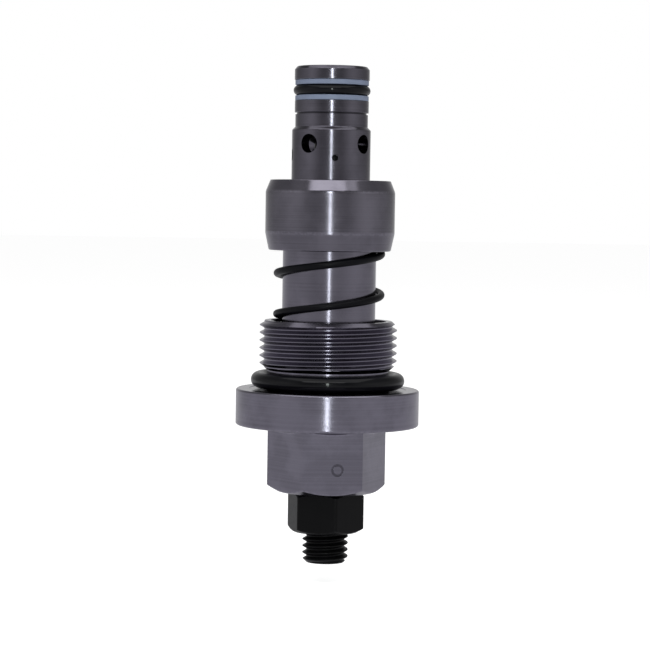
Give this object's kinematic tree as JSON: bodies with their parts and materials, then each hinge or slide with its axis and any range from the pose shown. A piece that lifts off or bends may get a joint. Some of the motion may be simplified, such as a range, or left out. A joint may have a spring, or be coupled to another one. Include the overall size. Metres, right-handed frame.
{
  "type": "hydraulic cartridge valve",
  "caption": "Screw-in hydraulic relief cartridge valve with hexagonal flanged body, external thread, coil spring, sliding collar, ported nose with seals, lock nut and adjusting screw.",
  "frame": {"origin": "on the valve's axis, in the plane of the flange's upper seating face", "axes": "+Z along the valve's axis towards the nose; the view of the picture looks along +Y with +X to the right"},
  "size_m": [0.048, 0.048, 0.1296],
  "materials": {
    "body_steel": "turned and milled, phosphated grey",
    "ground_steel": "ground, fine turning marks",
    "collar_steel": "ground, smooth",
    "hardened_steel": "hardened and ground",
    "spring_steel": "black, shot peened",
    "black_oxide": "black oxide, oiled",
    "seal_rubber": "smooth moulded rubber",
    "backup_white": "bluish white fluoropolymer"
  },
  "bodies": {
    "valve": {"valve_body": "body_steel", "guide_sleeve": "ground_steel", "seat_sleeve": "ground_steel", "seat_insert": "hardened_steel", "flange_o_ring": "seal_rubber", "nose_o_ring": "seal_rubber", "nose_backup_ring_upper": "backup_white", "nose_backup_ring_lower": "backup_white", "sleeve_o_ring": "seal_rubber", "stem_o_ring": "seal_rubber", "makeup_spring": "spring_steel", "relief_spring": "spring_steel"},
    "makeup_poppet": {"makeup_poppet": "collar_steel"},
    "relief_poppet": {"relief_poppet": "hardened_steel", "upper_spring_plate": "hardened_steel"},
    "spring_seat": {"lower_spring_seat": "hardened_steel", "piston_o_ring": "seal_rubber", "piston_backup_ring": "backup_white", "spring_shim": "hardened_steel"},
    "adjusting_screw": {"adjusting_screw": "black_oxide"},
    "lock_nut": {"lock_nut": "black_oxide"}
  },
  "joints": [
    {"name": "makeup_slide", "type": "slide", "parent": "valve", "child": "makeup_poppet", "axis": [0, 0, 1], "range_m": [-0.005, 0], "stiffness_N_per_m": 2680, "springref_m": 0.007, "deforming": ["makeup_spring"]},
    {"name": "relief_lift", "type": "slide", "parent": "valve", "child": "relief_poppet", "axis": [0, 0, 1], "range_m": [-0.0025, 0], "stiffness_N_per_m": 24700, "springref_m": 0.008, "deforming": ["relief_spring"]},
    {"name": "seat_slide", "type": "slide", "parent": "valve", "child": "spring_seat", "axis": [0, 0, 1], "range_m": [-0.00525, 0.0035]},
    {"name": "screw_turn", "type": "hinge", "parent": "spring_seat", "child": "adjusting_screw", "pos_m": [0, 0, -0.03], "axis": [0, 0, 1], "range_deg": [-1083, 722]},
    {"name": "nut_turn", "type": "hinge", "parent": "valve", "child": "lock_nut", "pos_m": [0, 0, -0.03215], "axis": [0, 0, 1], "range_deg": [-90, 0]}
  ],
  "couplings": [
    {"joint": "screw_turn", "follows": "seat_slide", "rad_per_m": 3590.4}
  ]
}
